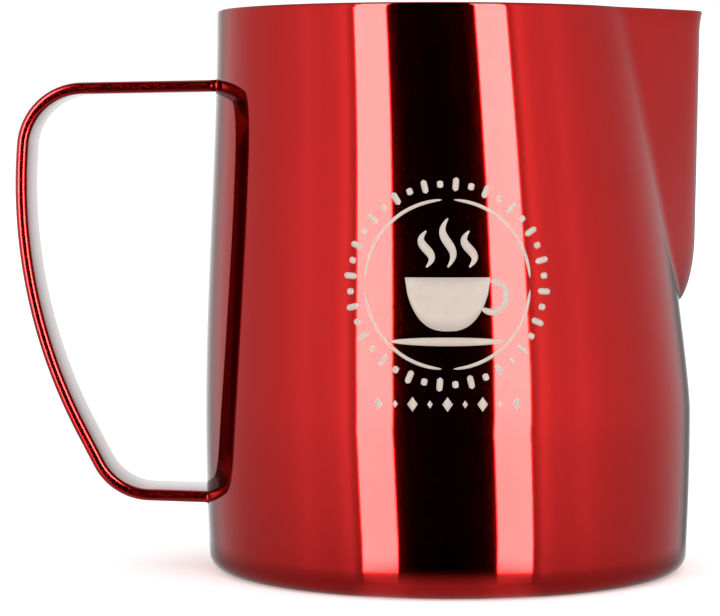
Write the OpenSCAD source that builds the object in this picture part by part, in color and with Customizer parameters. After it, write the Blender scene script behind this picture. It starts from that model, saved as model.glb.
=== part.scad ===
// Milk frothing jug: a cup drawn from one metal sheet, with a pressed spout and a welded strap handle.
// Millimetres. The origin is the centre of the foot, +Z is up, the spout points along +X
// and the handle along -X. The jug is symmetric about the XZ plane.

/* [Cup] */
// Height of the rim above the foot
cup_height = 106; // [98:1:120]
// Radius of the wall just above the rounded edge of the foot
foot_radius = 45.3; // [44:0.1:46]
// Radius of the wall at its widest
belly_radius = 46.2; // [46:0.1:47]
// Height of the widest point
belly_height = 30; // [24:1:36]
// Distance from the axis to the back wall at the rim
back_reach = 43.9; // [43:0.1:45]
// Inward lean of the front wall, in mm for each mm of height
front_lean = 0.136; // [0.12:0.002:0.15]
// Height over which that lean sets in
lean_onset = 6; // [4:0.5:8]
// Thickness of the sheet
sheet = 0.9; // [0.7:0.1:1.2]
// Radius of the rounded edge of the foot
foot_fillet = 3.2; // [2.6:0.1:4]
// Width of the flat ring that the jug stands on
foot_ring_width = 4; // [3:0.5:6]
// Depth of the recess inside that ring
foot_recess = 1.4; // [1:0.1:2]

/* [Spout] */
// Height at which the spout grows out of the wall
spout_start = 50.4; // [46:0.2:54]
// Height of the rounded nose at the spout's lower end
nose_height = 13; // [11:0.5:15]
// How far the keel swings in over that nose
nose_depth = 4; // [3.6:0.1:4.4]
// Distance from the axis to the keel at the rim, without the flare of the lip
keel_reach = 47.7; // [47.5:0.1:49]
// Forward lean of the keel, in mm for each mm of height
keel_lean = 0.018; // [0:0.002:0.02]
// How far the tip of the lip flares out at the rim
lip_flare = 0.5; // [0:0.1:1]
// Height over which the lip flares
lip_height = 4; // [2:0.5:8]
// Angle between the jug's middle plane and each side of the spout at the rim, in degrees
rim_side_angle = 45.5; // [43:0.5:48]
// The same angle where the spout starts
start_side_angle = 58; // [56:0.5:60]
// Softness of the keel's rounding
keel_softness = 3.1; // [2.5:0.1:3.6]
// Softness of the crease between the spout and the wall
crease_softness = 0.6; // [0.4:0.1:1]

/* [Handle] */
// Width of the strap
strap_width = 16; // [12:0.5:18]
// Thickness of the strap
strap_thickness = 2.2; // [1.6:0.1:2.6]
// Height of the strap's middle where its top end meets the wall
strap_top = 91.9; // [88:0.1:94]
// Height of the strap's middle where its bottom end meets the wall
strap_bottom = 13.9; // [12:0.1:18]
// Drop of the top stretch towards its corner, and rise of the bottom stretch towards its own
strap_splay = 0.7; // [0:0.1:2]
// Distance from the axis to the top corner, measured at the point of the corner
top_corner_reach = 79.6; // [78:0.1:81]
// Distance from the axis to the point where the grip's two slopes would cross
grip_reach = 82.2; // [82:0.1:84]
// Height of that crossing
grip_height = 51.4; // [49:0.1:52]
// Distance from the axis to the bottom corner, measured at the point of the corner
bottom_corner_reach = 63.1; // [61:0.1:65]
// Bend radius of the top corner, at the strap's middle
top_bend = 11.5; // [8:0.1:12]
// Bend radius of the long curve of the grip
grip_bend = 100; // [60:1:101]
// Bend radius of the bottom corner
bottom_bend = 11; // [8:0.1:14]

/* [Welds] */
// Leg of the weld fillet around each end of the strap
weld_leg = 0.8; // [0.6:0.1:1.2]
// Thickness of that fillet at its outer edge
weld_edge = 0.2; // [0.1:0.05:0.4]

/* [Hidden] */

coating = "firebrick";
weld_colour = "darkred";

// Facets: rays around the axis, and steps along each curved stretch
rays = 80;
fillet_steps = 5;
belly_steps = 5;
lean_steps = 3;
nose_steps = 7;
spout_steps = 6;
lip_steps = 3;
inner_steps = 8;
bend_steps = 9;

// The rays stand closer together towards the spout, by this power
ray_crowding = 1.6;
// The spout lies within this many degrees of its middle, and beyond them the wall is plain
spout_span = 40;

nose_top = spout_start + nose_height;
lip_start = cup_height - lip_height;
inner_fillet = foot_fillet - sheet;
recess_radius = foot_radius - foot_fillet - foot_ring_width;
recess_slope = 1.9;
floor_top = foot_recess + sheet;
// Tools for cutting reach this far past what they cut
over = 1;
// The strap is drawn from this far inside the back wall and then cut off at the wall
strap_root = 4;

function clamp(t) = min(max(t, 0), 1);
function ease(t) = t * t * (3 - 2 * t);
function round_in(t) = 1 - sqrt(1 - t * t);
function soft_max(a, b, k) = max(a, b) + pow(max(k - abs(a - b), 0), 2) / (4 * k);

// Side view of the cup: a round wall up to the belly, then a steep back and a leaning front
function lower_radius(z) =
    belly_radius - (belly_radius - foot_radius) * pow(clamp(1 - z / belly_height), 2);
function back(z) =
    lower_radius(z)
    - (belly_radius - back_reach) * ease(clamp((z - belly_height) / (cup_height - belly_height)));
function front(z) =
    let (rise = max(z - belly_height, 0))
    lower_radius(z) - front_lean * rise * rise / (rise + lean_onset);

// Side view of the spout's keel
function keel(z) =
    keel_reach
    - keel_lean * (cup_height - z)
    - nose_depth * round_in(clamp((nose_top - z) / nose_height))
    + lip_flare * pow(clamp((z - lip_start) / lip_height), 2);
function side_angle(z) =
    rim_side_angle
    + (start_side_angle - rim_side_angle) * (cup_height - z) / (cup_height - spout_start);

// Distance from the axis to the cup's round wall, which is a circle at every height
function wall_reach(angle, z, inset) =
    let (radius = (back(z) + front(z)) / 2 - inset, centre = (front(z) - back(z)) / 2)
    centre * cos(angle) + sqrt(radius * radius - pow(centre * sin(angle), 2));

// Distance from the axis to the spout, whose plan is a hyperbola: two flat sides and a round keel
function spout_reach(angle, z, inset) =
    let (
        side = side_angle(z),
        s = sin(side),
        c = cos(side),
        soft = keel_softness - inset * (1 - s) / c,
        m = (keel(z) - inset) * s + soft * c,
        a = pow(s * cos(angle), 2) - pow(c * sin(angle), 2),
        b = m * s * cos(angle),
        d = m * m - pow(c * soft, 2)
    )
    d / (b + sqrt(b * b - a * d));

// Distance from the axis to the finished wall
function reach(angle, z, inset) =
    let (has_spout = z > spout_start && abs(angle) < spout_span)
    has_spout
        ? soft_max(wall_reach(angle, z, inset), spout_reach(angle, z, inset), crease_softness)
        : wall_reach(angle, z, inset);

// Inset of a rounded bottom edge at a height above its lowest point
function edge_inset(height, radius) = radius * round_in(clamp(1 - height / radius));

function ray_angle(j) = let (t = 2 * j / rays - 1) 180 * sign(t) * pow(abs(t), ray_crowding);
function ring(z, inset, bottom, fillet) = [
    for (j = [0 : rays - 1])
        let (
            angle = ray_angle(j),
            distance = reach(angle, z, inset) - edge_inset(z - bottom, fillet)
        )
        [distance * cos(angle), distance * sin(angle), z]
];
function flat_ring(radius, z) = [
    for (j = [0 : rays - 1])
        [radius * cos(ray_angle(j)), radius * sin(ray_angle(j)), z]
];

// Heights from low to high, without the first: even steps
function climb(low, high, steps) = [for (i = [1 : steps]) low + (high - low) * i / steps];
// Heights on a rounded bottom edge, at even angles
function edge_heights(bottom, radius) = [
    for (i = [0 : fillet_steps]) bottom + radius * (1 - cos(90 * i / fillet_steps))
];
// Heights on the nose, closer together at its lower end
nose_heights = [for (i = [1 : nose_steps]) spout_start + nose_height * pow(i / nose_steps, 1.5)];

outer_heights = concat(
    edge_heights(0, foot_fillet),
    climb(foot_fillet, belly_height, belly_steps),
    climb(belly_height, spout_start, lean_steps),
    nose_heights,
    climb(nose_top, lip_start, spout_steps),
    climb(lip_start, cup_height, lip_steps)
);
inner_heights = concat(
    edge_heights(sheet, inner_fillet),
    climb(foot_fillet, spout_start, inner_steps),
    nose_heights,
    climb(nose_top, lip_start, spout_steps),
    climb(lip_start, cup_height, lip_steps)
);

outer_rings = [for (z = outer_heights) ring(z, 0, 0, foot_fillet)];
inner_rings = [
    for (i = [len(inner_heights) - 1 : -1 : 0])
        ring(inner_heights[i], sheet, sheet, inner_fillet)
];
floor_rings = [
    flat_ring(recess_radius, sheet),
    flat_ring(recess_radius - recess_slope, floor_top)
];

// Closed solid through a stack of rings, with a flat face on the first and on the last
module ring_solid(rings) {
    last = len(rings) - 1;
    walls = [
        for (i = [0 : last - 1])
            for (j = [0 : rays - 1])
                let (k = (j + 1) % rays, low = i * rays, high = low + rays)
                each [[low + j, high + j, high + k], [low + j, high + k, low + k]]
    ];
    first_face = [for (j = [0 : rays - 1]) j];
    last_face = [for (j = [rays - 1 : -1 : 0]) last * rays + j];
    points = [for (one_ring = rings) each one_ring];
    polyhedron(points, concat(walls, [first_face, last_face]));
}

module recess_cutter() {
    rotate_extrude($fn = 120)
        polygon([
            [0, -over],
            [recess_radius, -over],
            [recess_radius, 0],
            [recess_radius - recess_slope, foot_recess],
            [0, foot_recess]
        ]);
}

// The strap's middle line in side view: four straight lines, with a bend at each corner
strap_corners = [
    [strap_root - back_reach, strap_top],
    [-top_corner_reach, strap_top - strap_splay],
    [-grip_reach, grip_height],
    [-bottom_corner_reach, strap_bottom + strap_splay],
    [strap_root - back_reach, strap_bottom]
];

function unit(v) = v / norm(v);
function bend_arc(before, corner, after, radius) =
    let (
        u = unit(before - corner),
        v = unit(after - corner),
        half = acos(u * v) / 2,
        centre = corner + unit(u + v) * radius / sin(half),
        start = corner + u * radius / tan(half) - centre,
        stop = corner + v * radius / tan(half) - centre,
        from = atan2(start.y, start.x),
        sweep = (atan2(stop.y, stop.x) - from + 540) % 360 - 180
    )
    [
        for (i = [0 : bend_steps])
            let (angle = from + sweep * i / bend_steps)
            centre + radius * [cos(angle), sin(angle)]
    ];

strap_bends = [top_bend, grip_bend, bottom_bend];
strap_line = concat(
    [strap_corners[0]],
    [
        for (i = [0 : 2])
            each bend_arc(strap_corners[i], strap_corners[i + 1], strap_corners[i + 2], strap_bends[i])
    ],
    [strap_corners[4]]
);

function line_side(i, distance) =
    let (
        behind = strap_line[max(i - 1, 0)],
        ahead = strap_line[min(i + 1, len(strap_line) - 1)],
        along = unit(ahead - behind)
    )
    strap_line[i] + distance * [-along.y, along.x];

module whole_strap() {
    last = len(strap_line) - 1;
    one_side = [for (i = [0 : last]) line_side(i, strap_thickness / 2)];
    other_side = [for (i = [last : -1 : 0]) line_side(i, -strap_thickness / 2)];
    rotate([90, 0, 0])
        linear_extrude(strap_width, center = true)
            polygon(concat(one_side, other_side));
}

// A box that tapers outwards along the strap, around the strap's end at a given height
module weld_block(height) {
    wall = -back(height);
    hull() {
        translate([wall + over, 0, height])
            cube(
                [over, strap_width + 2 * weld_leg, strap_thickness + 2 * weld_leg],
                center = true
            );
        translate([wall - weld_leg, 0, height])
            cube(
                [weld_edge, strap_width + 2 * weld_edge, strap_thickness + 2 * weld_edge],
                center = true
            );
    }
}

module weld(height) {
    difference() {
        weld_block(height);
        whole_strap();
        ring_solid(outer_rings);
    }
}

module pitcher_body() {
    color(coating)
        difference() {
            ring_solid(concat(outer_rings, inner_rings, floor_rings));
            recess_cutter();
        }
}

module handle_strap() {
    color(coating)
        difference() {
            whole_strap();
            ring_solid(outer_rings);
        }
}

module upper_weld() {
    color(weld_colour)
        weld(strap_top);
}

module lower_weld() {
    color(weld_colour)
        weld(strap_bottom);
}

pitcher_body();
handle_strap();
upper_weld();
lower_weld();
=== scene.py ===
import math

import bmesh
import bpy
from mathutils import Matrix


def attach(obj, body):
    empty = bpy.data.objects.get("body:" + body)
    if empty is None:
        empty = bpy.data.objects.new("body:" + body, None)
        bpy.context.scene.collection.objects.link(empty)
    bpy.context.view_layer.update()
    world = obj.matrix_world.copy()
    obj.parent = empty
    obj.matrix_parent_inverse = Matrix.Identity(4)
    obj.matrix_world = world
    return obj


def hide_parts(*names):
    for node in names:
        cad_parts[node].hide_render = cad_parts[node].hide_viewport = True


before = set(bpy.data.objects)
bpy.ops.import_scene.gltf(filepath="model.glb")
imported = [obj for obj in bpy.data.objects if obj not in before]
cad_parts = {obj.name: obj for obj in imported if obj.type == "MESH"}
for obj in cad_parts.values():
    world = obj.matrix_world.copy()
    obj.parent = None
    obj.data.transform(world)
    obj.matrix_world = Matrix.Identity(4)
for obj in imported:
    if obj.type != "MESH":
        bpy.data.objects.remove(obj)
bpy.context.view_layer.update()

# The looks of a milk frothing jug. The shape functions work in millimetres and radians, and a mesh
# is scaled to metres when it is made. The spout points along +X, and the camera looks along +Y.

MM = 0.001

# Cup, as in the CAD source
CUP_HEIGHT = 106.0
FOOT_RADIUS = 45.3
BELLY_RADIUS = 46.2
BELLY_HEIGHT = 30.0
BACK_REACH = 43.9
FRONT_LEAN = 0.136
LEAN_ONSET = 6.0
SHEET = 0.9
FOOT_FILLET = 3.2
RECESS_RADIUS = 38.1
RECESS_SLOPE = 1.9
FOOT_RECESS = 1.4
RECESS_BEND = 0.9

# Spout, as in the CAD source
SPOUT_START = 50.4
NOSE_HEIGHT = 13.0
NOSE_DEPTH = 4.0
NOSE_TOP = SPOUT_START + NOSE_HEIGHT
KEEL_REACH = 47.7
KEEL_LEAN = 0.018
LIP_FLARE = 0.5
LIP_HEIGHT = 4.0
LIP_START = CUP_HEIGHT - LIP_HEIGHT
RIM_SIDE_ANGLE = math.radians(45.5)
START_SIDE_ANGLE = math.radians(58.0)
KEEL_SOFTNESS = 3.1
CREASE_SOFTNESS = 0.6
SPOUT_SPAN = math.radians(40.0)

# Handle, as in the CAD source: the points where the strap's straight lines cross, in side view
STRAP_WIDTH = 16.0
STRAP_THICKNESS = 2.2
STRAP_TOP = 91.9
STRAP_BOTTOM = 13.9
STRAP_CORNERS = [
    (-39.9, STRAP_TOP),
    (-79.6, 91.2),
    (-82.2, 51.4),
    (-63.1, 14.6),
    (-39.9, STRAP_BOTTOM),
]
STRAP_BENDS = [11.5, 100.0, 11.0]
STRAP_BEND_STEPS = [16, 28, 16]
# Radius of the strap's rounded edges, and how far its ends go into the wall
STRAP_EDGE = 0.9
STRAP_SINK = 0.35
# Extra rings on the strap's straight ends, as shares of their length
END_FRACTIONS = [0.18, 0.2, 0.3, 0.5, 0.75, 0.95]
# Mesh steps round each corner of the strap's section
STRAP_CORNER_STEPS = 8
# Legs of a weld bead's concave fillet, its depth in the metal, and its unevenness along the seam,
# as a share of its size and as two waves, in radians for each step round the strap
WELD_LEG = 0.3
WELD_SINK = 0.25
WELD_STEPS = 8
WELD_UNEVENNESS = 0.06
WELD_WAVES = (2.3, 0.9)
# Heights of the strap's middle where it meets the wall
UPPER_WELD = STRAP_TOP - 0.05
LOWER_WELD = STRAP_BOTTOM + 0.1

# Mesh columns in half a ring: across the spout, across its crease, and round the rest of the wall
SPOUT_COLUMNS = 22
CREASE_COLUMNS = 12
WALL_COLUMNS = 76
CREASE_BAND = math.radians(3.5)
SMALLEST_CREASE = math.radians(5.0)

# Mesh rows: up the outside, over the rim and down the inside
OUTER_FILLET_ROWS = 14
OUTER_FOOT_ROWS = 14
OUTER_BELLY_ROWS = 14
OUTER_NOSE_ROWS = 44
OUTER_SPOUT_ROWS = 26
OUTER_LIP_ROWS = 8
RIM_STEPS = 12
INNER_LIP_ROWS = 6
INNER_SPOUT_ROWS = 16
INNER_NOSE_ROWS = 28
INNER_WALL_ROWS = 14
INNER_FILLET_ROWS = 8
RECESS_BEND_STEPS = 6
NOSE_CROWDING = 1.6
# Radius of the smallest ring in the floor, inside which the faces meet at the middle
MIDDLE_RADIUS = 8.0


def clamp(t):
    return min(max(t, 0.0), 1.0)


def ease(t):
    return t * t * (3 - 2 * t)


def round_in(t):
    return 1 - math.sqrt(1 - t * t)


def soft_max(a, b, k):
    """The greater of two lengths, rounded where they are less than k apart."""
    return max(a, b) + max(k - abs(a - b), 0) ** 2 / (4 * k)


def lower_radius(z):
    return BELLY_RADIUS - (BELLY_RADIUS - FOOT_RADIUS) * clamp(1 - z / BELLY_HEIGHT) ** 2


def back(z):
    rise = clamp((z - BELLY_HEIGHT) / (CUP_HEIGHT - BELLY_HEIGHT))
    return lower_radius(z) - (BELLY_RADIUS - BACK_REACH) * ease(rise)


def front(z):
    rise = max(z - BELLY_HEIGHT, 0)
    return lower_radius(z) - FRONT_LEAN * rise * rise / (rise + LEAN_ONSET)


def wall_circle(z):
    """(centre's X, radius) of the round wall at a height."""
    return (front(z) - back(z)) / 2, (front(z) + back(z)) / 2


def keel(z):
    """Distance from the axis to the spout's front edge."""
    nose = NOSE_DEPTH * round_in(clamp((NOSE_TOP - z) / NOSE_HEIGHT))
    lip = LIP_FLARE * clamp((z - LIP_START) / LIP_HEIGHT) ** 2
    return KEEL_REACH - KEEL_LEAN * (CUP_HEIGHT - z) - nose + lip


def side_angle(z):
    """Angle between a flat side of the spout and the middle plane."""
    fall = (CUP_HEIGHT - z) / (CUP_HEIGHT - SPOUT_START)
    return RIM_SIDE_ANGLE + (START_SIDE_ANGLE - RIM_SIDE_ANGLE) * fall


def wall_reach(angle, z, inset):
    centre, radius = wall_circle(z)
    radius -= inset
    return centre * math.cos(angle) + math.sqrt(radius**2 - (centre * math.sin(angle)) ** 2)


def spout_reach(angle, z, inset):
    """Distance from the axis to the spout, whose plan is a hyperbola: flat sides, round keel."""
    s = math.sin(side_angle(z))
    c = math.cos(side_angle(z))
    soft = KEEL_SOFTNESS - inset * (1 - s) / c
    m = (keel(z) - inset) * s + soft * c
    a = (s * math.cos(angle)) ** 2 - (c * math.sin(angle)) ** 2
    b = m * s * math.cos(angle)
    d = m * m - (c * soft) ** 2
    return d / (b + math.sqrt(b * b - a * d))


def reach(angle, z, inset):
    """Distance from the axis to the wall or the spout, whichever is further out."""
    wall = wall_reach(angle, z, inset)
    if z <= SPOUT_START or abs(angle) >= SPOUT_SPAN:
        return wall
    return soft_max(wall, spout_reach(angle, z, inset), CREASE_SOFTNESS)


def edge_inset(height, radius):
    """How far a rounded bottom edge draws the wall in, at a height above its lowest point."""
    return radius * round_in(clamp(1 - height / radius))


def crease_angle(z):
    """Angle at which the spout's side meets the round wall, or 0 below the spout."""
    if z <= SPOUT_START or spout_reach(0, z, 0) <= wall_reach(0, z, 0):
        return 0.0
    low = 0.0
    high = SPOUT_SPAN
    halvings = 30
    for _ in range(halvings):
        middle = (low + high) / 2
        if spout_reach(middle, z, 0) > wall_reach(middle, z, 0):
            low = middle
        else:
            high = middle
    return low


def steps(low, high, count):
    """Even steps from low to high, without low."""
    return [low + (high - low) * i / count for i in range(1, count + 1)]


def ring_angles(z):
    """Angles of a ring's columns, which crowd together along the spout's crease."""
    middle = max(crease_angle(z), SMALLEST_CREASE)
    half = [0.0]
    half += steps(0.0, middle - CREASE_BAND, SPOUT_COLUMNS)
    half += steps(middle - CREASE_BAND, middle + CREASE_BAND, CREASE_COLUMNS)
    half += steps(middle + CREASE_BAND, math.pi, WALL_COLUMNS)
    return half + [-angle for angle in reversed(half[1:-1])]


def wall_ring(z, inset, bottom=0.0, fillet=FOOT_FILLET):
    points = []
    for angle in ring_angles(z):
        distance = reach(angle, z, inset) - edge_inset(z - bottom, fillet)
        points.append((distance * math.cos(angle), distance * math.sin(angle), z))
    return points


def flat_ring(radius, z):
    return [(radius * math.cos(a), radius * math.sin(a), z) for a in ring_angles(0.0)]


def unit(x, y):
    length = math.hypot(x, y)
    return x / length, y / length


def bend(before, corner, after, radius, count):
    """Points of the arc that rounds one corner of a line, by angle about the arc's centre."""
    ux, uy = unit(before[0] - corner[0], before[1] - corner[1])
    vx, vy = unit(after[0] - corner[0], after[1] - corner[1])
    half = math.acos(ux * vx + uy * vy) / 2
    wx, wy = unit(ux + vx, uy + vy)
    centre_x = corner[0] + wx * radius / math.sin(half)
    centre_y = corner[1] + wy * radius / math.sin(half)
    run = radius / math.tan(half)
    begin = math.atan2(corner[1] + uy * run - centre_y, corner[0] + ux * run - centre_x)
    end = math.atan2(corner[1] + vy * run - centre_y, corner[0] + vx * run - centre_x)
    sweep = (end - begin + 3 * math.pi) % (2 * math.pi) - math.pi
    angles = [begin + sweep * i / count for i in range(count + 1)]
    return [(centre_x + radius * math.cos(a), centre_y + radius * math.sin(a)) for a in angles]


def bent_line(corners, radii, counts):
    """A line through corners, each but the first and the last rounded with its own radius."""
    line = [corners[0]]
    for i, radius in enumerate(radii):
        line += bend(corners[i], corners[i + 1], corners[i + 2], radius, counts[i])
    return line + [corners[-1]]


# Meshes


def add_object(name, points, faces, face_materials=None, smooth=None):
    """An object of a closed mesh, with points in millimetres and outward normals."""
    mesh = bpy.data.meshes.new(name)
    mesh.from_pydata([(x * MM, y * MM, z * MM) for x, y, z in points], [], faces)
    mesh.polygons.foreach_set("use_smooth", smooth or [True] * len(faces))
    if face_materials:
        mesh.polygons.foreach_set("material_index", face_materials)
    work = bmesh.new()
    work.from_mesh(mesh)
    bmesh.ops.recalc_face_normals(work, faces=work.faces)
    work.to_mesh(mesh)
    work.free()
    obj = bpy.data.objects.new(name, mesh)
    bpy.context.scene.collection.objects.link(obj)
    return obj


def join_rings(rings, first_index=0):
    """Quads between each ring and the next, all with the same number of points."""
    count = len(rings[0])
    faces = []
    for i in range(len(rings) - 1):
        low = first_index + i * count
        high = low + count
        for j in range(count):
            k = (j + 1) % count
            faces.append((low + j, low + k, high + k, high + j))
    return faces


def crowded_nose(count):
    """Heights over the nose, closer together at its lower end."""
    return [SPOUT_START + NOSE_HEIGHT * (i / count) ** NOSE_CROWDING for i in range(1, count + 1)]


def fillet_heights(bottom, radius, count):
    """Heights on a rounded bottom edge, at even angles."""
    angles = [math.pi / 2 * i / count for i in range(count + 1)]
    return [bottom + radius * (1 - math.cos(a)) for a in angles]


def under_line():
    """(radius, height) of the underside, from the middle to the foot's flat ring."""
    return bent_line(
        [
            (MIDDLE_RADIUS, FOOT_RECESS),
            (RECESS_RADIUS - RECESS_SLOPE, FOOT_RECESS),
            (RECESS_RADIUS, 0.0),
            (FOOT_RADIUS - FOOT_FILLET, 0.0),
        ],
        [RECESS_BEND, RECESS_BEND],
        [RECESS_BEND_STEPS, RECESS_BEND_STEPS],
    )


def floor_line():
    """(radius, height) of the floor's upper side, from the wall to the middle."""
    return bent_line(
        [
            (lower_radius(SHEET) - FOOT_FILLET, SHEET),
            (RECESS_RADIUS, SHEET),
            (RECESS_RADIUS - RECESS_SLOPE, FOOT_RECESS + SHEET),
            (MIDDLE_RADIUS, FOOT_RECESS + SHEET),
        ],
        [RECESS_BEND, RECESS_BEND],
        [RECESS_BEND_STEPS, RECESS_BEND_STEPS],
    )


def outer_heights(rim_start):
    heights = fillet_heights(0.0, FOOT_FILLET, OUTER_FILLET_ROWS)
    heights += steps(FOOT_FILLET, BELLY_HEIGHT, OUTER_FOOT_ROWS)
    heights += steps(BELLY_HEIGHT, SPOUT_START, OUTER_BELLY_ROWS)
    heights += crowded_nose(OUTER_NOSE_ROWS)
    heights += steps(NOSE_TOP, LIP_START, OUTER_SPOUT_ROWS)
    return heights + steps(LIP_START, rim_start, OUTER_LIP_ROWS)


def inner_heights(rim_start):
    """Heights down the inside, from just under the rim."""
    heights = fillet_heights(SHEET, FOOT_FILLET - SHEET, INNER_FILLET_ROWS)
    heights += steps(FOOT_FILLET, SPOUT_START, INNER_WALL_ROWS)
    heights += crowded_nose(INNER_NOSE_ROWS)
    heights += steps(NOSE_TOP, LIP_START, INNER_SPOUT_ROWS)
    heights += steps(LIP_START, rim_start, INNER_LIP_ROWS)
    return heights[::-1]


def rim_rings(rim_start):
    """The rim's half round, from the outside to the inside."""
    half_sheet = SHEET / 2
    rings = []
    for i in range(1, RIM_STEPS):
        turn = math.pi * i / RIM_STEPS
        inset = half_sheet * (1 - math.cos(turn))
        rings.append(wall_ring(rim_start + half_sheet * math.sin(turn), inset))
    return rings


def make_body():
    """The cup from one sheet: underside, outer wall, rounded rim, inner wall and floor."""
    rim_start = CUP_HEIGHT - SHEET / 2
    rings = [flat_ring(r, z) for r, z in under_line()[:-1]]
    rings += [wall_ring(z, 0.0) for z in outer_heights(rim_start)]
    rings += rim_rings(rim_start)
    coated = len(rings)
    rings += [wall_ring(z, SHEET, SHEET, FOOT_FILLET - SHEET) for z in inner_heights(rim_start)]
    rings += [flat_ring(r, z) for r, z in floor_line()[1:]]

    count = len(rings[0])
    points = [point for ring in rings for point in ring]
    faces = join_rings(rings)
    materials = [0 if i // count < coated else 1 for i in range(len(faces))]
    last = len(points) - count
    points += [(0.0, 0.0, FOOT_RECESS), (0.0, 0.0, FOOT_RECESS + SHEET)]
    for j in range(count):
        k = (j + 1) % count
        faces.append((len(points) - 2, k, j))
        faces.append((len(points) - 1, last + j, last + k))
        materials += [0, 1]
    return add_object("jug_body", points, faces, materials)


def strap_section():
    """Points of the strap's rounded section, each (across its thickness, across its width, and
    the outward direction in the same two axes)."""
    high = STRAP_THICKNESS / 2
    wide = STRAP_WIDTH / 2
    section = []
    for quarter, (sx, sy) in enumerate([(1, 1), (-1, 1), (-1, -1), (1, -1)]):
        for i in range(STRAP_CORNER_STEPS + 1):
            angle = math.pi / 2 * (quarter + i / STRAP_CORNER_STEPS)
            x = sx * (high - STRAP_EDGE) + STRAP_EDGE * math.cos(angle)
            y = sy * (wide - STRAP_EDGE) + STRAP_EDGE * math.sin(angle)
            section.append((x, y, math.cos(angle), math.sin(angle)))
    return section


def wall_back_x(y, z):
    """X of the back wall's outer face at a height and a distance from the middle plane."""
    centre, radius = wall_circle(z)
    return centre - math.sqrt(radius**2 - y * y)


def straight(p, q, fractions):
    return [(p[0] + (q[0] - p[0]) * t, p[1] + (q[1] - p[1]) * t) for t in fractions]


def make_strap():
    """The strip swept along its bent line, with its ends cut to the wall's curve."""
    bent = bent_line(STRAP_CORNERS, STRAP_BENDS, STRAP_BEND_STEPS)
    line = bent[:1] + straight(bent[0], bent[1], END_FRACTIONS) + bent[1:-1]
    line += straight(bent[-1], bent[-2], END_FRACTIONS)[::-1] + bent[-1:]
    section = strap_section()
    rings = []
    for i, (x, z) in enumerate(line):
        before = line[max(i - 1, 0)]
        after = line[min(i + 1, len(line) - 1)]
        tx, tz = unit(after[0] - before[0], after[1] - before[1])
        rings.append([(x - tz * n, y, z + tx * n) for n, y, _, _ in section])
    for ring in (rings[0], rings[-1]):
        for j, (_, y, z) in enumerate(ring):
            ring[j] = (wall_back_x(y, z) + STRAP_SINK, y, z)
    points = [point for ring in rings for point in ring]
    faces = join_rings(rings)
    count = len(section)
    faces.append(tuple(range(count)))
    faces.append(tuple(range(len(points) - count, len(points))))
    smooth = [True] * (len(faces) - 2) + [False, False]
    return add_object("handle_strip", points, faces, smooth=smooth)


def make_weld(name, height):
    """A concave fillet round the strap's end, sunk a little into the strap and the wall."""
    profile = [(-WELD_SINK, -WELD_SINK), (-WELD_SINK, WELD_LEG)]
    for i in range(WELD_STEPS + 1):
        turn = math.pi / 2 * i / WELD_STEPS
        out = WELD_LEG * (1 - math.cos(turn))
        away = WELD_LEG * (1 - math.sin(turn))
        profile.append((out, away))
    profile.append((WELD_LEG, -WELD_SINK))
    rings = []
    for i, (n, y, normal_n, normal_y) in enumerate(strap_section()):
        waves = math.sin(WELD_WAVES[0] * i) * math.cos(WELD_WAVES[1] * i)
        size = 1 + WELD_UNEVENNESS * waves
        ring = []
        for out, away in profile:
            py = y + normal_y * out * size
            pz = height + n + normal_n * out * size
            ring.append((wall_back_x(py, pz) - away * size, py, pz))
        rings.append(ring)
    rings.append(rings[0])
    points = [point for ring in rings[:-1] for point in ring]
    wrap = len(points)
    faces = [tuple(p % wrap for p in face) for face in join_rings(rings)]
    return add_object(name, points, faces)


# Emblem: a cup with steam in a ring of rays, over a row of lozenges, on the jug's -Y side

PRINT_HEIGHT = 56.2
PRINT_LIFT = 0.04
PRINT_SINK = 0.03
# Half width of a line where it ends in a point
TIP = 0.03

RAY_COUNT = 40
LONG_RAY = (16.4, 18.9)
SHORT_RAY = (17.0, 18.3)
RAY_HALF_WIDTH = 0.55
RING_RADIUS = 14.9
RING_GAP = 8.0
RING_HALF_WIDTH = 0.32
CUP_TOP = 1.2
CUP_HALF_WIDTH = 7.6
CUP_DEPTH = 9.4
CUP_POWERS = (2.6, 0.62)
CUP_END_DEPTH = 0.05
HANDLE_MIDDLE = (7.9, -2.2)
HANDLE_RADIUS = 2.7
HANDLE_HALF_WIDTH = 0.62
HANDLE_ENDS = (100, -135)
SAUCER_LEVEL = -10.1
SAUCER_HALF_WIDTH = 10.2
SAUCER_HALF_HEIGHT = 0.75
STEAM_BOTTOM = 3.0
# (place across, top) of each wisp of steam
STEAM_WISPS = [(-3.8, 9.4), (0.0, 11.6), (3.8, 9.4)]
STEAM_SWAY = 0.95
STEAM_HALF_WIDTH = 0.75
# Place along a half sine wave of a wisp's ends, whose width it gives
STEAM_TAPER = 0.06
LOZENGES_EACH_SIDE = 4
LOZENGE_LEVEL = -21.1
LOZENGE_PITCH = 3.1
LOZENGE_STRETCH = 1.35
LARGE_LOZENGE = 0.95
SMALL_LOZENGE = 0.5


def on_wall(u, v, lift):
    """A point of the print, u along the wall and v up from the emblem's middle."""
    z = PRINT_HEIGHT + v
    centre, radius = wall_circle(z)
    turn = (u - centre) / radius
    return (centre + (radius + lift) * math.sin(turn), -(radius + lift) * math.cos(turn), z)


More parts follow.
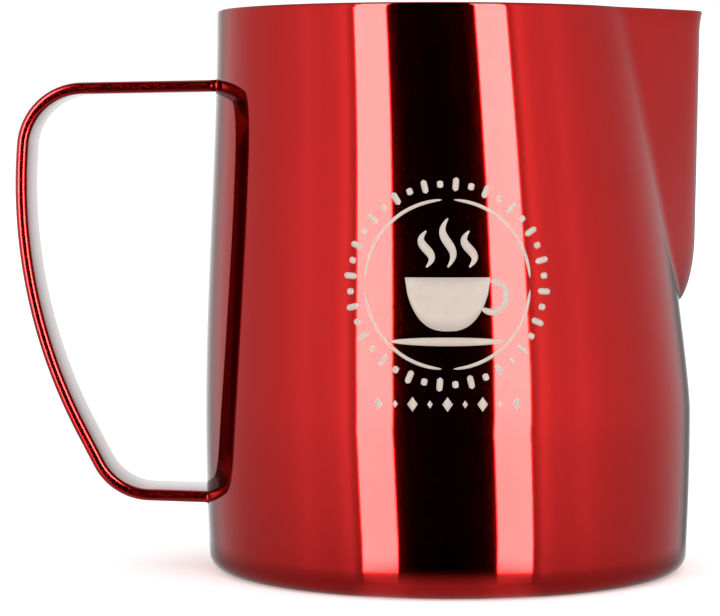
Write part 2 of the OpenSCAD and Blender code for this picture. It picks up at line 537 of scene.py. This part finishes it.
class Print:
    """Collects patches of print, each a thin closed solid that follows the wall."""

    def __init__(self):
        self.points = []
        self.faces = []
        self.smooth = []

    def patch(self, rows):
        """A thin solid that covers a grid of points; rows: lists of (u, v) of equal length."""
        m = len(rows[0])
        n = len(rows)
        start = len(self.points)
        flat = [point for row in rows for point in row]
        self.points += [on_wall(u, v, PRINT_LIFT) for u, v in flat]
        self.points += [on_wall(u, v, -PRINT_SINK) for u, v in flat]
        under = start + m * n
        for i in range(n - 1):
            for j in range(m - 1):
                a = i * m + j
                quad = (a, a + 1, a + m + 1, a + m)
                self.add(tuple(start + p for p in quad), True)
                self.add(tuple(under + p for p in reversed(quad)), True)
        edge = list(range(m)) + [i * m + m - 1 for i in range(1, n)]
        edge += [(n - 1) * m + j for j in range(m - 2, -1, -1)] + [i * m for i in range(n - 2, 0, -1)]
        for p, q in zip(edge, edge[1:] + edge[:1]):
            self.add((start + p, start + q, under + q, under + p), False)

    def add(self, face, smooth):
        self.faces.append(face)
        self.smooth.append(smooth)

    def ribbon(self, line, halves):
        """A band along a line, with its half width at each point."""
        rows = []
        for i, (u, v) in enumerate(line):
            before = line[max(i - 1, 0)]
            after = line[min(i + 1, len(line) - 1)]
            tu, tv = unit(after[0] - before[0], after[1] - before[1])
            w = halves[i]
            rows.append([(u - tv * w, v + tu * w), (u, v), (u + tv * w, v - tu * w)])
        self.patch(rows)


def round_ends(count, half):
    """Half widths of a band with rounded ends."""
    widths = []
    for i in range(count):
        t = abs(2 * i / (count - 1) - 1)
        widths.append(max(half * math.sqrt(1 - t**6), TIP))
    return widths


def arc_line(middle, radius, begin, end, count):
    angles = [math.radians(begin + (end - begin) * i / (count - 1)) for i in range(count)]
    return [(middle[0] + radius * math.cos(a), middle[1] + radius * math.sin(a)) for a in angles]


def even_line(p, q, count):
    return straight(p, q, [i / (count - 1) for i in range(count)])


def draw_rays(art):
    count = 9
    for i in range(RAY_COUNT):
        angle = 2 * math.pi * (i + 0.5) / RAY_COUNT
        inner, outer = LONG_RAY if i % 2 else SHORT_RAY
        p = (inner * math.cos(angle), inner * math.sin(angle))
        q = (outer * math.cos(angle), outer * math.sin(angle))
        art.ribbon(even_line(p, q, count), round_ends(count, RAY_HALF_WIDTH))


def draw_ring(art):
    """Four arcs with gaps between them."""
    count = 40
    for begin in (0, 90, 180, 270):
        low = begin + RING_GAP / 2
        high = begin + 90 - RING_GAP / 2
        line = arc_line((0.0, 0.0), RING_RADIUS, low, high, count)
        art.ribbon(line, round_ends(count, RING_HALF_WIDTH))


def draw_cup(art):
    columns = 33
    levels = 4
    rows = []
    for i in range(columns):
        t = 2 * i / (columns - 1) - 1
        depth = CUP_DEPTH * (1 - abs(t) ** CUP_POWERS[0]) ** CUP_POWERS[1] + CUP_END_DEPTH
        rows.append([(CUP_HALF_WIDTH * t, CUP_TOP - depth * k / levels) for k in range(levels + 1)])
    art.patch(rows)
    count = 22
    handle = arc_line(HANDLE_MIDDLE, HANDLE_RADIUS, *HANDLE_ENDS, count)
    art.ribbon(handle, round_ends(count, HANDLE_HALF_WIDTH))


def draw_saucer(art):
    spans = 40
    halves = []
    for i in range(spans + 1):
        half = SAUCER_HALF_HEIGHT * math.sqrt(1 - (2 * i / spans - 1) ** 2)
        halves.append(max(half, TIP))
    left = (-SAUCER_HALF_WIDTH, SAUCER_LEVEL)
    right = (SAUCER_HALF_WIDTH, SAUCER_LEVEL)
    art.ribbon(even_line(left, right, spans + 1), halves)


def draw_steam(art):
    spans = 24
    for middle, top in STEAM_WISPS:
        line = []
        halves = []
        for i in range(spans + 1):
            t = i / spans
            u = middle + STEAM_SWAY * math.sin(2 * math.pi * t)
            line.append((u, STEAM_BOTTOM + (top - STEAM_BOTTOM) * t))
            place = STEAM_TAPER + (1 - 2 * STEAM_TAPER) * t
            halves.append(max(STEAM_HALF_WIDTH * math.sin(math.pi * place), TIP))
        art.ribbon(line, halves)


def draw_lozenges(art):
    for i in range(-LOZENGES_EACH_SIDE, LOZENGES_EACH_SIDE + 1):
        u = LOZENGE_PITCH * i
        half = LARGE_LOZENGE if i % 2 == 0 else SMALL_LOZENGE
        low = (u, LOZENGE_LEVEL - LOZENGE_STRETCH * half)
        high = (u, LOZENGE_LEVEL + LOZENGE_STRETCH * half)
        art.ribbon(even_line(low, high, 5), [TIP, half / 2, half, half / 2, TIP])


def make_emblem():
    art = Print()
    draw_rays(art)
    draw_ring(art)
    draw_cup(art)
    draw_saucer(art)
    draw_steam(art)
    draw_lozenges(art)
    return add_object("printed_emblem", art.points, art.faces, smooth=art.smooth)


# Materials

# Linear colours
WHITE = (1.0, 1.0, 1.0, 1.0)
DEEP_RED = (0.345, 0.0016, 0.0010, 1.0)
BRIGHT_RED = (0.375, 0.0026, 0.0018, 1.0)
EDGE_TINT = (0.4, 0.4, 0.4, 1.0)
DARK_STEEL = (0.76, 0.75, 0.73, 1.0)
BRIGHT_STEEL = (0.88, 0.87, 0.85, 1.0)
CLOUDED_STEEL = (0.80, 0.78, 0.75, 1.0)
DARK_CREAM = (0.41, 0.345, 0.3, 1.0)
PALE_CREAM = (0.46, 0.395, 0.35, 1.0)
DARK_FLOOR = (0.80, 0.80, 0.80, 1.0)
PALE_FLOOR = (0.83, 0.83, 0.83, 1.0)

# Light that the floor gives off, so that the jug's red hardly tints it
FLOOR_GLOW = 0.34
# The white card, in millimetres: its depth below the foot, and the radii between which it fades out
CARD_DEPTH = 0.1
CARD_INNER = 50.0
CARD_OUTER = 70.0
CARD_RINGS = [10.0, 40.0, CARD_INNER, CARD_OUTER]

# Depths of surface relief, in metres
SHEET_RIPPLE = 0.000006
WELD_RIPPLE = 0.00001
COATING_PEEL = 0.0000004
STEEL_MARKS = 0.00002
INK_GRAIN = 0.000006


class Nodes:
    """Short calls for building one node tree."""

    def __init__(self, tree):
        self.tree = tree
        self.tree.nodes.clear()

    def add(self, kind, inputs=None, **settings):
        node = self.tree.nodes.new(kind)
        for key, value in settings.items():
            setattr(node, key, value)
        for key, value in (inputs or {}).items():
            self.put(node.inputs[key], value)
        return node

    def put(self, socket, value):
        if isinstance(value, bpy.types.NodeSocket):
            self.tree.links.new(value, socket)
        else:
            socket.default_value = value

    def math(self, operation, a, b=0.0, c=0.0):
        node = self.add("ShaderNodeMath", {0: a, 1: b, 2: c}, operation=operation)
        return node.outputs[0]

    def total(self, first, *others):
        for other in others:
            first = self.math("ADD", first, other)
        return first

    def product(self, first, *others):
        for other in others:
            first = self.math("MULTIPLY", first, other)
        return first

    def ramp(self, value, stops):
        """A grey level by position; stops: (position, level)."""
        node = self.add("ShaderNodeValToRGB", {"Fac": value})
        elements = node.color_ramp.elements
        while len(elements) < len(stops):
            elements.new(0.5)
        for element, (position, _) in zip(elements, stops):
            element.position = position
        for element, (_, level) in zip(elements, stops):
            element.color = (level, level, level, 1.0)
        return node.outputs["Color"]

    def smooth_step(self, value, low, high):
        node = self.add("ShaderNodeMapRange", interpolation_type="SMOOTHSTEP")
        self.put(node.inputs["Value"], value)
        node.inputs["From Min"].default_value = low
        node.inputs["From Max"].default_value = high
        return node.outputs["Result"]

    def remap(self, value, low, high):
        """A 0 to 1 value spread over low to high."""
        node = self.add("ShaderNodeMapRange")
        self.put(node.inputs["Value"], value)
        node.inputs["To Min"].default_value = low
        node.inputs["To Max"].default_value = high
        return node.outputs["Result"]

    def noise(self, scale, detail=2.0, stretch=(1.0, 1.0, 1.0), roughness=0.5):
        """Noise over the object's own coordinates, in features per metre."""
        place = self.add("ShaderNodeTexCoord").outputs["Object"]
        mapping = self.add("ShaderNodeMapping", {"Vector": place})
        mapping.inputs["Scale"].default_value = stretch
        node = self.add("ShaderNodeTexNoise", {"Vector": mapping.outputs[0]})
        node.inputs["Scale"].default_value = scale
        node.inputs["Detail"].default_value = detail
        node.inputs["Roughness"].default_value = roughness
        return node.outputs["Fac"]

    def mix(self, factor, a, b):
        node = self.add("ShaderNodeMix", data_type="RGBA")
        self.put(node.inputs["Factor"], factor)
        self.put(node.inputs["A"], a)
        self.put(node.inputs["B"], b)
        return node.outputs["Result"]

    def bump(self, height, distance, strength=1.0, normal=None):
        """A normal for a relief of a depth in metres, over another relief if one is given."""
        node = self.add("ShaderNodeBump", {"Height": height})
        node.inputs["Distance"].default_value = distance
        node.inputs["Strength"].default_value = strength
        if normal is not None:
            self.put(node.inputs["Normal"], normal)
        return node.outputs["Normal"]


def new_material(name):
    material = bpy.data.materials.new(name)
    material.use_nodes = True
    nodes = Nodes(material.node_tree)
    shader = nodes.add("ShaderNodeBsdfPrincipled")
    nodes.add("ShaderNodeOutputMaterial", {"Surface": shader.outputs["BSDF"]})
    return material, nodes, shader


def coated_metal(name, roughness, coat_roughness, coat_ior, ripple=SHEET_RIPPLE):
    """Polished steel under a transparent red coating: a red mirror under a clear coat.
    roughness: the mirror's lowest and highest; ripple: depth of the metal's gentle waves."""
    material, nodes, shader = new_material(name)
    cloud = nodes.noise(38.0, 3.0)
    polish = nodes.noise(900.0, 3.0, (1.0, 1.0, 9.0))
    nodes.put(shader.inputs["Base Color"], nodes.mix(cloud, DEEP_RED, BRIGHT_RED))
    nodes.put(shader.inputs["Roughness"], nodes.remap(polish, *roughness))
    shader.inputs["Metallic"].default_value = 1.0
    shader.inputs["Specular Tint"].default_value = EDGE_TINT
    shader.inputs["Coat Weight"].default_value = 1.0
    shader.inputs["Coat Roughness"].default_value = coat_roughness
    shader.inputs["Coat IOR"].default_value = coat_ior
    waves = nodes.bump(nodes.noise(55.0, 1.0), ripple)
    peel = nodes.bump(nodes.noise(1400.0, 1.0), COATING_PEEL, 1.0, waves)
    nodes.put(shader.inputs["Normal"], peel)
    nodes.put(shader.inputs["Coat Normal"], peel)
    return material


def bare_steel():
    """The inside: bare stainless steel with fine marks round the axis."""
    material, nodes, shader = new_material("bare_steel")
    marks = nodes.noise(260.0, 6.0, (0.25, 0.25, 14.0), 0.65)
    cloud = nodes.noise(45.0, 3.0)
    marked = nodes.mix(marks, DARK_STEEL, BRIGHT_STEEL)
    clouded = nodes.mix(nodes.product(cloud, 0.4), marked, CLOUDED_STEEL)
    nodes.put(shader.inputs["Base Color"], clouded)
    nodes.put(shader.inputs["Roughness"], nodes.remap(marks, 0.26, 0.46))
    shader.inputs["Metallic"].default_value = 1.0
    nodes.put(shader.inputs["Normal"], nodes.bump(marks, STEEL_MARKS, 0.6))
    return material


def print_ink():
    """Matt cream ink with a faint mottle."""
    material, nodes, shader = new_material("cream_print")
    mottle = nodes.noise(700.0, 4.0)
    grain = nodes.noise(4200.0, 2.0)
    nodes.put(shader.inputs["Base Color"], nodes.mix(mottle, DARK_CREAM, PALE_CREAM))
    nodes.put(shader.inputs["Roughness"], nodes.remap(grain, 0.42, 0.6))
    shader.inputs["Specular IOR Level"].default_value = 0.2
    nodes.put(shader.inputs["Normal"], nodes.bump(grain, INK_GRAIN, 0.5))
    return material


def floor_paint():
    """Matt white paint, which gives off a little light of its own."""
    material, nodes, shader = new_material("pale_floor")
    mottle = nodes.noise(6.0, 4.0)
    nodes.put(shader.inputs["Base Color"], nodes.mix(mottle, DARK_FLOOR, PALE_FLOOR))
    nodes.put(shader.inputs["Roughness"], nodes.remap(mottle, 0.8, 0.95))
    shader.inputs["Specular IOR Level"].default_value = 0.0
    shader.inputs["Emission Color"].default_value = WHITE
    shader.inputs["Emission Strength"].default_value = FLOOR_GLOW
    return material


# Studio
#
# Each list holds (angle in degrees, level). An azimuth is counted from the front, where the camera
# is: to either side alike, or, where a list starts at -180, with the spout's side positive.

# Light from the round card under the jug, by azimuth to either side
CARD_LEVELS = [(0, 0.64), (8.1, 0.7), (12.6, 0.95), (18, 0.95), (23.4, 0.55), (180, 0.5)]
# Turn of the studio about the vertical, and how far it leans by elevation, in shares of LEAN
STUDIO_TURN = 2.0
LEAN = 2.2
LEAN_SHARES = [(-12, 1.0), (-5, 0.0), (2.7, 0.35), (10, 1.4)]
# The white surround: a dark front and bright sides, by azimuth to either side
SURROUND = [
    (0, 0.006),
    (17, 0.01),
    (22, 0.04),
    (42, 1.0),
    (46, 2.0),
    (52, 1.6),
    (59, 1.5),
    (68, 1.62),
    (78, 1.35),
    (90, 1.2),
    (110, 1.1),
    (122, 1.15),
    (137, 1.25),
    (148, 0.75),
    (158, 0.85),
    (170, 1.15),
]
# Share of the surround by azimuth: a dark flag behind the spout draws the belly's edge
REAR_FLAG = [
    (-180, 1.0),
    (138, 1.0),
    (146, 1.35),
    (150, 1.1),
    (155, 0.5),
    (163, 0.32),
    (167, 0.6),
    (171, 1.0),
]
# Share of the surround by elevation
SURROUND_HEIGHTS = [
    (-40, 0.0),
    (-16, 0.45),
    (-11, 0.75),
    (-4, 0.95),
    (4, 1.0),
    (25, 0.9),
    (60, 0.3),
    (85, 0.05),
]
# Light from the table by elevation, and its share by azimuth to either side
TABLE = [(-90, 0.95), (-45, 0.8), (-24, 0.4), (-14, 0.0)]
TABLE_SIDES = [(12, 0.2), (36, 1.0)]
# Light from the ceiling by elevation, and its share by azimuth to either side
CEILING = [(35, 0.0), (70, 0.9), (90, 1.1)]
CEILING_SIDES = [(15, 0.05), (90, 0.2), (135, 1.0)]
# The two softboxes: soft edges by azimuth and by elevation, and the level over their height
SOFTBOX_LEVEL = 30.0
SOFTBOX_INNER = (22.9, 24.1)
SOFTBOX_OUTER = (41.0, 39.8)
SOFTBOX_BOTTOM = (-14.4, -12.6)
SOFTBOX_TOP = (42, 36)
SOFTBOX_FALL = [(-14, 0.74), (-6, 0.82), (4, 0.95), (10, 1.0)]
# Their light on the table's edge, by elevation
SPILL = [(-30, 0.0), (-24, 0.6), (-18, 1.5), (-13, 1.5), (-10, 0.0)]
# Shares of the surround and the softboxes that are left in second reflections
SURROUND_AGAIN = 0.5
SOFTBOX_AGAIN = 0.14
# Level of the plain surround that the camera and matt surfaces see
PLAIN_LEVEL = 1.12

# Area lights, which light only what isn't glossy, in metres and degrees
LAMP_AZIMUTH = 33.0
LAMP_DISTANCE = 1.15
LAMP_HEIGHT = 0.32
LAMP_TILT = 80.0
LAMP_WIDTH = 0.35
LAMP_LENGTH = 0.9
LAMP_POWER = 3.0

# Floor, in millimetres
FLOOR_HALF = 4000.0
FLOOR_CELLS = 8

# Camera, in metres, millimetres of focal length and degrees
CAMERA_PLACE = (0.0, -0.575, 0.0812)
CAMERA_LENS = 150.7
CAMERA_DIP = 3.148
CAMERA_TURN = 1.67


def on_half_turn(angle):
    """Place from 0 to 1 of an azimuth to either side of the front."""
    return angle / 180


def on_full_turn(angle):
    """Place from 0 to 1 of an azimuth from -180 to 180."""
    return 0.5 + angle / 360


def on_height(elevation):
    """Place from 0 to 1 of an elevation, by its sine."""
    return 0.5 + 0.5 * math.sin(math.radians(elevation))


def placed(scale, stops):
    return [(scale(angle), level) for angle, level in stops]


def front_azimuth(nodes, x, y):
    """Azimuth of a direction in radians, 0 at the front and positive on the spout's side."""
    return nodes.math("ARCTAN2", x, nodes.product(y, -1.0))


def half_turn_place(nodes, azimuth):
    return nodes.math("DIVIDE", nodes.math("ABSOLUTE", azimuth), math.pi)


def card_light():
    """White light that fades out at the card's rim, where the card is clear."""
    material = bpy.data.materials.new("white_card")
    material.use_nodes = True
    nodes = Nodes(material.node_tree)
    place = nodes.add("ShaderNodeTexCoord").outputs["Object"]
    radius = nodes.add("ShaderNodeVectorMath", {0: place}, operation="LENGTH").outputs["Value"]
    x, y, _ = nodes.add("ShaderNodeSeparateXYZ", {0: place}).outputs
    around = half_turn_place(nodes, front_azimuth(nodes, x, y))
    level = nodes.ramp(around, placed(on_half_turn, CARD_LEVELS))
    white = nodes.add("ShaderNodeEmission", {"Color": level})
    clear = nodes.add("ShaderNodeBsdfTransparent")
    fade = nodes.smooth_step(radius, CARD_INNER * MM, CARD_OUTER * MM)
    mixed = nodes.add("ShaderNodeMixShader", {0: fade, 1: white.outputs[0], 2: clear.outputs[0]})
    nodes.add("ShaderNodeOutputMaterial", {"Surface": mixed.outputs[0]})
    return material


def sky_places(nodes):
    """Where a direction lies: by height, to either side of the front, and round the full turn."""
    direction = nodes.add("ShaderNodeTexCoord").outputs["Generated"]
    x, y, z = nodes.add("ShaderNodeSeparateXYZ", {0: direction}).outputs
    height = nodes.math("MULTIPLY_ADD", z, 0.5, 0.5)
    lean = nodes.ramp(height, placed(on_height, LEAN_SHARES))
    azimuth = front_azimuth(nodes, x, y)
    azimuth = nodes.math("SUBTRACT", azimuth, nodes.product(lean, math.radians(LEAN)))
    azimuth = nodes.total(azimuth, math.radians(STUDIO_TURN))
    whole = nodes.math("MULTIPLY_ADD", azimuth, 0.5 / math.pi, 0.5)
    return height, half_turn_place(nodes, azimuth), whole


def surround_light(nodes, height, around, whole, again):
    walls = nodes.product(
        nodes.ramp(around, placed(on_half_turn, SURROUND)),
        nodes.ramp(whole, placed(on_full_turn, REAR_FLAG)),
        nodes.ramp(height, placed(on_height, SURROUND_HEIGHTS)),
        nodes.remap(again, 1.0, SURROUND_AGAIN),
    )
    table = nodes.product(
        nodes.ramp(height, placed(on_height, TABLE)),
        nodes.ramp(around, placed(on_half_turn, TABLE_SIDES)),
    )
    ceiling = nodes.product(
        nodes.ramp(height, placed(on_height, CEILING)),
        nodes.ramp(around, placed(on_half_turn, CEILING_SIDES)),
    )
    return nodes.total(walls, table, ceiling)


def softbox_light(nodes, height, around, again):
    beam = nodes.product(
        nodes.smooth_step(around, *map(on_half_turn, SOFTBOX_INNER)),
        nodes.smooth_step(around, *map(on_half_turn, SOFTBOX_OUTER)),
    )
    spill = nodes.product(beam, nodes.ramp(height, placed(on_height, SPILL)))
    face = nodes.product(
        beam,
        nodes.smooth_step(height, *map(on_height, SOFTBOX_BOTTOM)),
        nodes.smooth_step(height, *map(on_height, SOFTBOX_TOP)),
        nodes.ramp(height, placed(on_height, SOFTBOX_FALL)),
        SOFTBOX_LEVEL,
        nodes.remap(again, 1.0, SOFTBOX_AGAIN),
    )
    return nodes.total(spill, face)


def make_world():
    """A white surround with two tall softboxes either side of a dark front, for reflections.
    The camera and matt surfaces see it as a plain pale surround."""
    world = bpy.data.worlds.new("studio")
    world.use_nodes = True
    bpy.context.scene.world = world
    world.cycles.sampling_method = "NONE"
    nodes = Nodes(world.node_tree)
    height, around, whole = sky_places(nodes)
    rays = nodes.add("ShaderNodeLightPath").outputs
    again = nodes.math("GREATER_THAN", rays["Glossy Depth"], 1.5)
    surround = surround_light(nodes, height, around, whole, again)
    light = nodes.total(surround, softbox_light(nodes, height, around, again))
    studio = nodes.add("ShaderNodeBackground", {"Color": light}).outputs[0]
    plain = nodes.add("ShaderNodeBackground", {"Color": WHITE, "Strength": PLAIN_LEVEL}).outputs[0]
    is_plain = nodes.math("MAXIMUM", rays["Is Camera Ray"], rays["Is Diffuse Ray"])
    mixed = nodes.add("ShaderNodeMixShader", {0: is_plain, 1: studio, 2: plain})
    nodes.add("ShaderNodeOutputWorld", {"Surface": mixed.outputs[0]})


def add_softbox(name, azimuth):
    """A tall area light in front of the jug, turned to it. It lights only diffuse surfaces,
    because the world already holds its reflection."""
    light = bpy.data.lights.new(name, "AREA")
    light.shape = "RECTANGLE"
    light.size = LAMP_WIDTH
    light.size_y = LAMP_LENGTH
    light.energy = LAMP_POWER
    lamp = bpy.data.objects.new(name, light)
    turn = math.radians(azimuth)
    lamp.location = (LAMP_DISTANCE * math.sin(turn), -LAMP_DISTANCE * math.cos(turn), LAMP_HEIGHT)
    lamp.rotation_euler = (math.radians(LAMP_TILT), 0.0, turn)
    lamp.visible_glossy = False
    lamp.visible_camera = False
    bpy.context.scene.collection.objects.link(lamp)


def make_floor():
    across = FLOOR_CELLS + 1
    ticks = [FLOOR_HALF * (2 * i / FLOOR_CELLS - 1) for i in range(across)]
    points = [(x, y, 0.0) for y in ticks for x in ticks]
    faces = []
    for i in range(FLOOR_CELLS):
        for j in range(FLOOR_CELLS):
            a = i * across + j
            faces.append((a, a + 1, a + across + 1, a + across))
    floor = add_object("studio_floor", points, faces)
    floor.data.materials.append(floor_paint())
    floor.visible_glossy = False


def make_card():
    """A round white card under the jug, seen only in reflections: it brightens the foot's edge."""
    rings = [flat_ring(radius, -CARD_DEPTH) for radius in CARD_RINGS]
    points = [point for ring in rings for point in ring]
    faces = join_rings(rings)
    faces.append(tuple(range(len(rings[0]))))
    card = add_object("white_card", points, faces)
    card.data.materials.append(card_light())
    card.visible_camera = False
    card.visible_diffuse = False
    card.visible_shadow = False


def make_camera():
    data = bpy.data.cameras.new("camera")
    data.lens = CAMERA_LENS
    data.sensor_width = 36.0
    camera = bpy.data.objects.new("camera", data)
    camera.location = CAMERA_PLACE
    camera.rotation_euler = (math.radians(90 - CAMERA_DIP), 0.0, math.radians(CAMERA_TURN))
    bpy.context.scene.collection.objects.link(camera)
    bpy.context.scene.camera = camera


def finish_piece(obj, materials, slot, *nodes):
    for material in materials:
        obj.data.materials.append(material)
    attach(obj, "root")
    if nodes:
        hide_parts(*nodes)


coating = coated_metal("coated_steel", (0.04, 0.06), coat_roughness=0.015, coat_ior=1.22)
strip_coating = coated_metal("coated_strip", (0.17, 0.2), coat_roughness=0.12, coat_ior=1.3)
weld_coating = coated_metal("coated_weld", (0.16, 0.22), 0.08, 1.22, WELD_RIPPLE)
finish_piece(make_body(), [coating, bare_steel()], "coated_steel", "pitcher_body")
finish_piece(make_strap(), [strip_coating], "coated_steel", "handle_strap")
finish_piece(make_weld("upper_weld_bead", UPPER_WELD), [weld_coating], "coated_weld", "upper_weld")
finish_piece(make_weld("lower_weld_bead", LOWER_WELD), [weld_coating], "coated_weld", "lower_weld")
finish_piece(make_emblem(), [print_ink()], "emblem_print")
make_floor()
make_card()
make_world()
add_softbox("softbox_left", -LAMP_AZIMUTH)
add_softbox("softbox_right", LAMP_AZIMUTH)
make_camera()
bpy.context.scene.view_settings.view_transform = "Standard"
